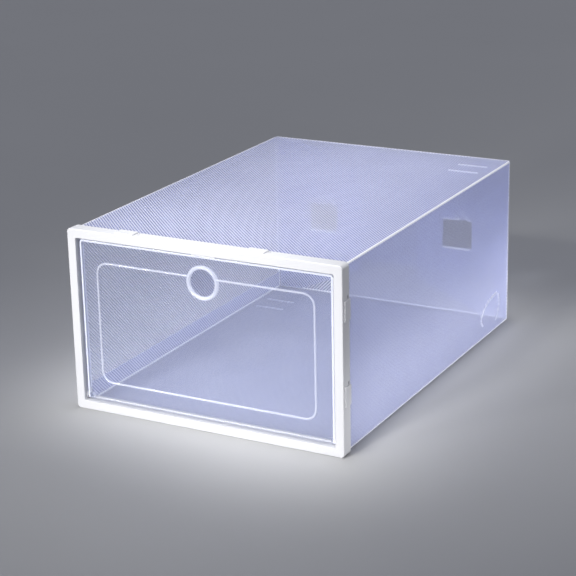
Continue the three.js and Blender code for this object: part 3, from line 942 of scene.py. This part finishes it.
# The sheet's cut edges
EDGE_COLOURS = ((0.74, 0.78, 0.98), (0.93, 0.94, 1.0))
EDGE_GRAIN_SCALE = 900.0
EDGE_STRETCH = (1, 0.2, 1)
EDGE_ROUGH = 0.45
EDGE_THROUGH = 0.5
EDGE_HAZE = 0.75

# The frame
FRAME_COLOURS = ((0.58, 0.58, 0.595), (0.61, 0.61, 0.625))
FRAME_CLOUD_SCALE = 35.0
FRAME_ROUGH = 0.28
FRAME_ROUGH_SPREAD = 0.08
FRAME_ROUGH_SCALE = 60.0
FRAME_GRAIN_SCALE = 700.0
FRAME_GRAIN_HEIGHT = 0.00001  # metres
FRAME_GRAIN_STRENGTH = 0.3

# The door
DOOR_COLOUR = (0.85, 0.88, 1.0, 1)
DOOR_TINT = (0.975, 0.98, 0.99, 1)
DOOR_ROUGH = 0.25
DOOR_GLOSS_ROUGH = 0.06
PANE_HAZE = 0.03
# Haze of the bead, finger rim, lip, knuckles and pane edges: a painted highlight that stands in for the
# light these curved clear parts catch
RAISED_HIGHLIGHT_HAZE = 0.36
DOOR_CLOUD_HAZE = 0.03
DOOR_CLOUD_SCALE = 40.0
LIP_HIGHLIGHT_HAZE = 0.6
LIP_HIGHLIGHT_BAND = 1.5  # width of the door's border, in front of the lip, that gets a painted highlight

# The floor
FLOOR_SHADE = 0.38
FLOOR_SHADE_SPREAD = 0.03
FLOOR_CLOUD_SCALE = 3.0
FLOOR_ROUGH = 0.6
FLOOR_IOR = 1.4


def new_material(name):
    material = bpy.data.materials.new(name)
    material.use_nodes = True
    material.node_tree.nodes.clear()
    return material, material.node_tree


def node(tree, kind, inputs=None, **settings):
    """Adds a node. A value of inputs that is a socket is linked, and any other is set."""
    made = tree.nodes.new(kind)
    for key, value in settings.items():
        setattr(made, key, value)
    for key, value in (inputs or {}).items():
        if isinstance(value, bpy.types.NodeSocket):
            tree.links.new(value, made.inputs[key])
        else:
            made.inputs[key].default_value = value
    return made


def math_of(tree, operation, *values, clamp=False):
    inputs = dict(enumerate(values))
    return node(tree, "ShaderNodeMath", inputs, operation=operation, use_clamp=clamp).outputs[0]


def attribute(tree, name, output):
    return node(tree, "ShaderNodeAttribute", attribute_name=name).outputs[output]


def noise(tree, scale, detail=2.0, stretch=(1, 1, 1)):
    """Noise over the object's own space, in cycles per metre, about 0 to 1."""
    place = node(tree, "ShaderNodeTexCoord").outputs["Object"]
    spread = node(tree, "ShaderNodeMapping", {"Vector": place, "Scale": stretch}).outputs[0]
    inputs = {"Vector": spread, "Scale": scale, "Detail": detail}
    return node(tree, "ShaderNodeTexNoise", inputs).outputs["Fac"]


def colour_mix(tree, factor, a, b):
    """Mixes two colours, each a socket or three numbers."""
    a, b = [(*colour, 1) if isinstance(colour, tuple) else colour for colour in (a, b)]
    # Inputs 6 and 7 and output 2 are the node's colours.
    return node(tree, "ShaderNodeMix", {0: factor, 6: a, 7: b}, data_type="RGBA").outputs[2]


def mix_shader(tree, factor, a, b):
    return node(tree, "ShaderNodeMixShader", {0: factor, 1: a, 2: b}).outputs[0]


def mirror_share(tree):
    """Share of the light that a smooth plastic surface reflects, by Schlick's rule.

    It is the same for both sides, because light passes these thin walls without bending.
    """
    facing = node(tree, "ShaderNodeLayerWeight", {"Blend": 0.5}).outputs["Facing"]
    grazing = math_of(tree, "POWER", facing, 5.0)
    return math_of(tree, "MULTIPLY_ADD", grazing, 1 - HEAD_ON_MIRROR, HEAD_ON_MIRROR)


def finish_material(material, tree, shader):
    output = node(tree, "ShaderNodeOutputMaterial")
    tree.links.new(shader, output.inputs["Surface"])
    return material


def sheet_material():
    """Translucent polypropylene: it lets some light straight through and scatters the rest."""
    material, tree = new_material("translucent_sheet")
    crease = attribute(tree, "crease", "Fac")
    unfolded = node(tree, "ShaderNodeSeparateXYZ", {0: attribute(tree, "unfolded", "Vector")})
    phase = math_of(tree, "ADD", unfolded.outputs[0], unfolded.outputs[1])
    wave = math_of(tree, "COSINE", math_of(tree, "MULTIPLY", phase, 2 * math.pi / RIB_PITCH))
    ribs = math_of(tree, "MULTIPLY_ADD", wave, 0.5, 0.5)
    cloud = math_of(tree, "MULTIPLY_ADD", noise(tree, CLOUD_SCALE), CLOUD_HAZE,
                    VALLEY_HAZE - CLOUD_HAZE / 2)
    streaks = noise(tree, STREAK_SCALE, 1.0, STREAK_STRETCH)
    streaks = math_of(tree, "MULTIPLY", streaks, STREAK_HAZE)
    haze = math_of(tree, "ADD", cloud, streaks)
    haze = math_of(tree, "MULTIPLY_ADD", ribs, CREST_HAZE - VALLEY_HAZE, haze)
    haze = math_of(tree, "MULTIPLY_ADD", crease, CREASE_HAZE, haze, clamp=True)
    # Painted highlight on the rib crests and painted shade in their valleys
    rib_highlight_and_shade = colour_mix(tree, ribs, VALLEY_SHADE_COLOUR, CREST_HIGHLIGHT_COLOUR)
    colour = colour_mix(tree, crease, rib_highlight_and_shade, CREASE_COLOUR)
    grain = noise(tree, SHEET_GRAIN_SCALE)
    rough = math_of(tree, "MULTIPLY_ADD", grain, SHEET_ROUGH_SPREAD, SHEET_ROUGH)
    lit = node(tree, "ShaderNodeBsdfPrincipled", {
        "Base Color": colour, "Roughness": rough, "IOR": SHEET_IOR}).outputs[0]
    through = node(tree, "ShaderNodeBsdfTranslucent", {"Color": colour}).outputs[0]
    share = math_of(tree, "MULTIPLY_ADD", crease, -SCATTER_THROUGH * CREASE_SOLID, SCATTER_THROUGH)
    film = mix_shader(tree, share, lit, through)
    clear = node(tree, "ShaderNodeBsdfTransparent", {"Color": TINT}).outputs[0]
    body = mix_shader(tree, haze, clear, film)
    shine = math_of(tree, "MULTIPLY", mirror_share(tree), SHEET_GLOSS)
    gloss = node(tree, "ShaderNodeBsdfGlossy", {"Roughness": SHEET_GLOSS_ROUGH}).outputs[0]
    return finish_material(material, tree, mix_shader(tree, shine, body, gloss))


def cut_edge_material():
    """The sheet's cut edges, which look brighter because light comes out of them."""
    material, tree = new_material("cut_edge")
    grain = noise(tree, EDGE_GRAIN_SCALE, 3.0, EDGE_STRETCH)
    colour = colour_mix(tree, grain, *EDGE_COLOURS)
    lit = node(tree, "ShaderNodeBsdfPrincipled", {
        "Base Color": colour, "Roughness": EDGE_ROUGH, "IOR": SHEET_IOR}).outputs[0]
    through = node(tree, "ShaderNodeBsdfTranslucent", {"Color": colour}).outputs[0]
    clear = node(tree, "ShaderNodeBsdfTransparent", {"Color": TINT}).outputs[0]
    film = mix_shader(tree, EDGE_THROUGH, lit, through)
    return finish_material(material, tree, mix_shader(tree, EDGE_HAZE, clear, film))


def frame_material():
    """White moulded polystyrene with a soft gloss."""
    material, tree = new_material("frame_plastic")
    colour = colour_mix(tree, noise(tree, FRAME_CLOUD_SCALE), *FRAME_COLOURS)
    cloud = noise(tree, FRAME_ROUGH_SCALE)
    rough = math_of(tree, "MULTIPLY_ADD", cloud, FRAME_ROUGH_SPREAD, FRAME_ROUGH)
    bump = node(tree, "ShaderNodeBump", {
        "Height": noise(tree, FRAME_GRAIN_SCALE), "Distance": FRAME_GRAIN_HEIGHT,
        "Strength": FRAME_GRAIN_STRENGTH}).outputs[0]
    lit = node(tree, "ShaderNodeBsdfPrincipled", {
        "Base Color": colour, "Roughness": rough, "IOR": PLASTIC_IOR, "Normal": bump}).outputs[0]
    return finish_material(material, tree, lit)


def lip_highlight(tree):
    """Mask of the painted highlight: 1 on the border of the door in front of its lip, and 0 elsewhere.
    """
    place = node(tree, "ShaderNodeTexCoord").outputs["Object"]
    parts = node(tree, "ShaderNodeSeparateXYZ", {0: place})
    across = math_of(tree, "ABSOLUTE", parts.outputs[0])
    beside = math_of(tree, "GREATER_THAN", across, (DOOR_X - LIP_HIGHLIGHT_BAND) * MM)
    above = math_of(tree, "GREATER_THAN", parts.outputs[2], (DOOR_TOP - LIP_HIGHLIGHT_BAND) * MM)
    return math_of(tree, "MAXIMUM", beside, above)


def door_material(name, haze_level):
    """Clear polystyrene: see-through, with gloss, and whiter where it is thick or curved, which is a
    painted highlight.
    """
    material, tree = new_material(name)
    cloud = noise(tree, DOOR_CLOUD_SCALE)
    haze = math_of(tree, "MULTIPLY_ADD", cloud, DOOR_CLOUD_HAZE, haze_level)
    # Painted highlight along the door's border in front of the lip
    haze = math_of(tree, "MULTIPLY_ADD", lip_highlight(tree), LIP_HIGHLIGHT_HAZE, haze, clamp=True)
    lit = node(tree, "ShaderNodeBsdfPrincipled", {
        "Base Color": DOOR_COLOUR, "Roughness": DOOR_ROUGH, "IOR": PLASTIC_IOR}).outputs[0]
    clear = node(tree, "ShaderNodeBsdfTransparent", {"Color": DOOR_TINT}).outputs[0]
    body = mix_shader(tree, haze, clear, lit)
    gloss = node(tree, "ShaderNodeBsdfGlossy", {"Roughness": DOOR_GLOSS_ROUGH}).outputs[0]
    return finish_material(material, tree, mix_shader(tree, mirror_share(tree), body, gloss))


def floor_material():
    material, tree = new_material("pale_floor")
    cloud = noise(tree, FLOOR_CLOUD_SCALE)
    colour = colour_mix(tree, cloud, (FLOOR_SHADE,) * 3, (FLOOR_SHADE + FLOOR_SHADE_SPREAD,) * 3)
    lit = node(tree, "ShaderNodeBsdfPrincipled", {
        "Base Color": colour, "Roughness": FLOOR_ROUGH, "IOR": FLOOR_IOR}).outputs[0]
    return finish_material(material, tree, lit)


# ---- the studio ------------------------------------------------------------------------------

FLOOR_REACH = 12.0  # metres from the middle to each side

# Place, target and size in metres, watts, and spread in degrees of each lamp
LAMPS = {
    "front": ((-0.3, -3.0, 0.4), (0, -0.1, 0.07), (0.5, 0.3), 0.36, 12),
    "front_left": ((-1.5, -2.6, 0.5), (0, -0.1, 0.07), (0.5, 0.3), 0.27, 12),
    "front_high": ((-0.4, -2.2, 1.4), (0, -0.1, 0.07), (0.5, 0.3), 0.30, 12),
    "top_strip": ((-0.03, -0.25, 1.1), (0, -0.15, 0.1), (0.26, 0.1), 0.08, 12),
    "top": ((0, 0.02, 1.0), (0, 0.02, 0.1), (0.24, 0.34), 0.25, 16),
    "right": ((0.9, 0.2, 0.25), (0.1, 0.05, 0.05), (0.5, 0.3), 0.24, 60),
    "right_strip": ((0.75, 0.12, 0.03), (0.115, 0.04, 0.03), (0.4, 0.04), 0.05, 10),
}
AMBIENT_COLOUR = (0.85, 0.88, 1.0, 1)
AMBIENT = 0.44

# The camera that was fitted to the photo's edges
CAMERA_AZIMUTH = math.radians(28.437)  # to the right of the front
CAMERA_ELEVATION = math.radians(18.438)
CAMERA_ROLL = math.radians(-1.268)
CAMERA_PLACE = Vector((0.63007, -1.19301, 0.51342))
CAMERA_LENS = 109.61
CAMERA_SENSOR = 36.0


def add_floor():
    mesh = bpy.data.meshes.new("floor")
    corners = [(x * FLOOR_REACH, y * FLOOR_REACH, 0) for x, y in ((-1, -1), (1, -1), (1, 1), (-1, 1))]
    mesh.from_pydata(corners, [], [(0, 1, 2, 3)])
    mesh.materials.append(floor_material())
    shown("floor", mesh)


def add_light(name, place, target, size, watts, spread):
    data = bpy.data.lights.new(name, "AREA")
    data.shape = "RECTANGLE"
    data.size, data.size_y = size
    data.energy = watts
    data.spread = math.radians(spread)
    light = bpy.data.objects.new(name, data)
    bpy.context.scene.collection.objects.link(light)
    light.location = place
    aim = Vector(target) - Vector(place)
    light.rotation_euler = aim.to_track_quat("-Z", "Y").to_euler()


def add_lights():
    for name, lamp in LAMPS.items():
        add_light(name, *lamp)
    world = bpy.data.worlds.new("studio")
    world.use_nodes = True
    background = world.node_tree.nodes["Background"]
    background.inputs["Color"].default_value = AMBIENT_COLOUR
    background.inputs["Strength"].default_value = AMBIENT
    bpy.context.scene.world = world


def add_camera():
    data = bpy.data.cameras.new("camera")
    data.lens = CAMERA_LENS
    data.sensor_width = CAMERA_SENSOR
    camera = bpy.data.objects.new("camera", data)
    bpy.context.scene.collection.objects.link(camera)
    level = math.cos(CAMERA_ELEVATION)
    forward = Vector((-math.sin(CAMERA_AZIMUTH) * level, math.cos(CAMERA_AZIMUTH) * level,
                      -math.sin(CAMERA_ELEVATION)))
    right = forward.cross(Vector((0, 0, 1))).normalized()
    up = right.cross(forward)
    turn = Matrix.Rotation(-CAMERA_ROLL, 3, forward)
    axes = Matrix((turn @ right, turn @ up, -forward)).transposed()
    camera.matrix_world = Matrix.Translation(CAMERA_PLACE) @ axes.to_4x4()
    bpy.context.scene.camera = camera


def set_render_looks():
    scene = bpy.context.scene
    scene.view_settings.view_transform = "Standard"
    scene.cycles.transparent_max_bounces = 48
    scene.cycles.max_bounces = 10
    scene.cycles.filter_width = 1.6


def build():
    sheet = (sheet_material(), cut_edge_material())
    make_body(sheet)
    for side in ("left", "right"):
        for end in ("upper", "lower"):
            make_lock_tab(f"lock_tab_{side}_{end}", sheet)
    make_frame(frame_material())
    make_door(door_material("clear_polystyrene", PANE_HAZE),
              door_material("clear_door_raised_highlight", RAISED_HIGHLIGHT_HAZE))


add_camera()
add_floor()
add_lights()
set_render_looks()
build()
